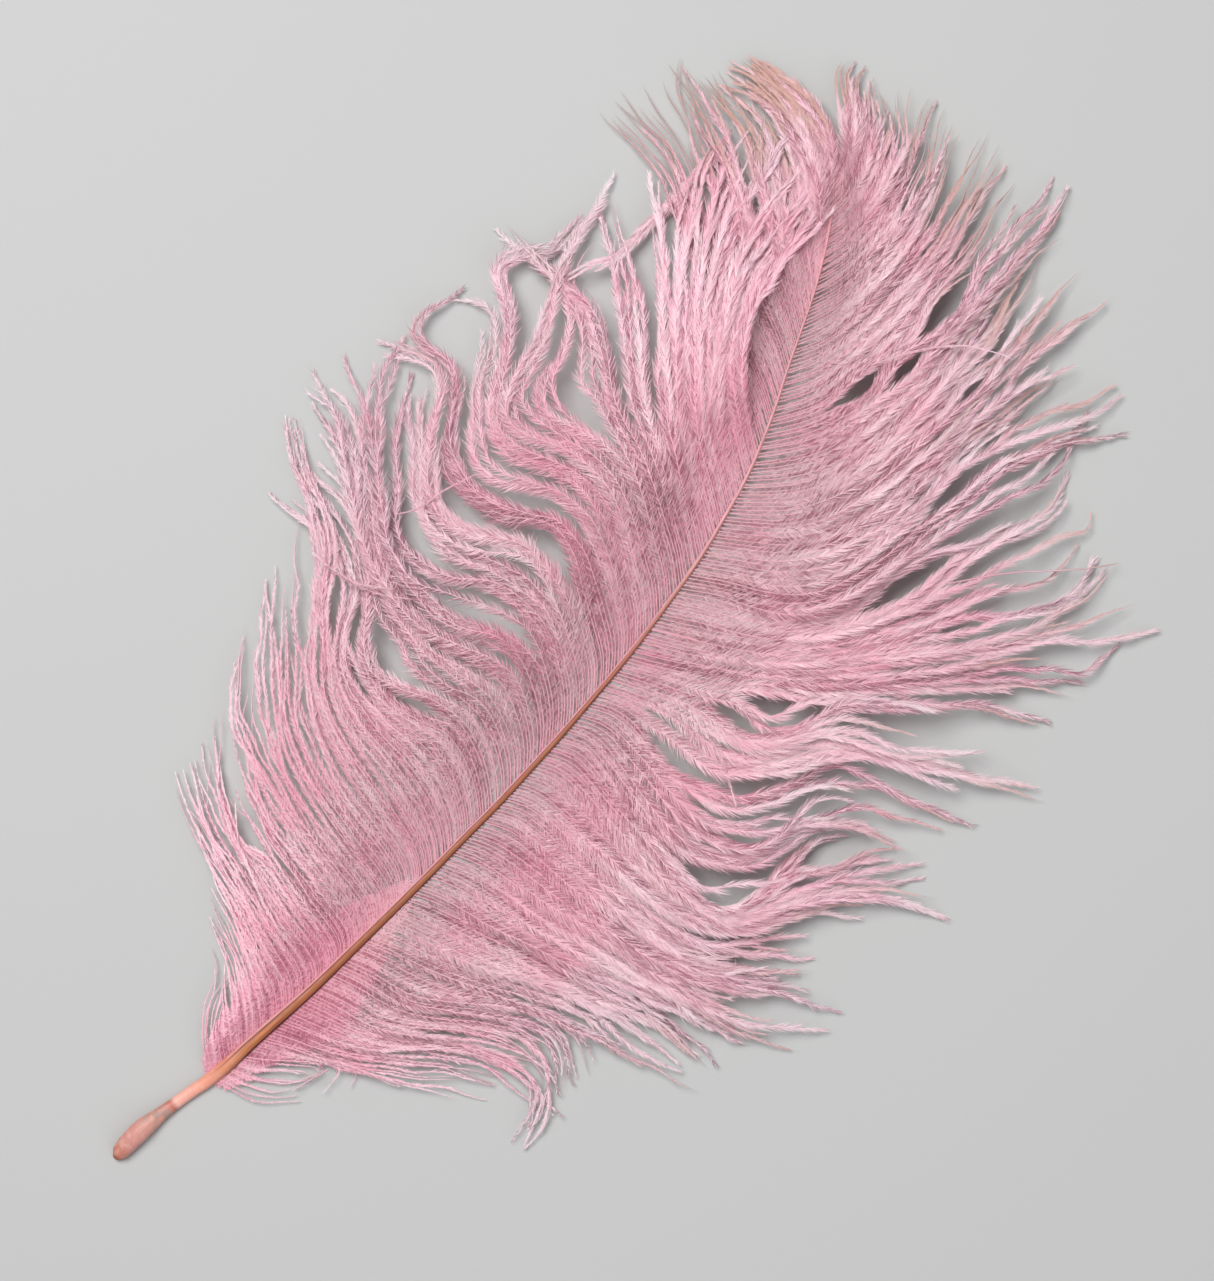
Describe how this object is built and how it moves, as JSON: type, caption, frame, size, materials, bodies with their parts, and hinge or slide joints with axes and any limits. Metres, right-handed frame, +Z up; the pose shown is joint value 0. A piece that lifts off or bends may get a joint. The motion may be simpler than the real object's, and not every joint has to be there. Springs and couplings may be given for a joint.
{
  "type": "ostrich feather",
  "caption": "Pink dyed ostrich plume lying flat, with a swollen quill end, a tapering brown shaft and long soft barbs that sweep outward in wavy locks on both sides",
  "frame": {"origin": "On the flat underside of the shaft where the lowest barbs start, just past the bare quill", "axes": "+Y runs along the feather from the quill towards its tip, +Z is up out of the surface it lies on, and +X is to the right of the shaft seen from above"},
  "size_m": [0.1375, 0.2166, 0.0132],
  "materials": {
    "barbs": "soft, downy",
    "shaft": "satin horn"
  },
  "bodies": {
    "root": {"feather": "barbs"}
  },
  "joints": []
}
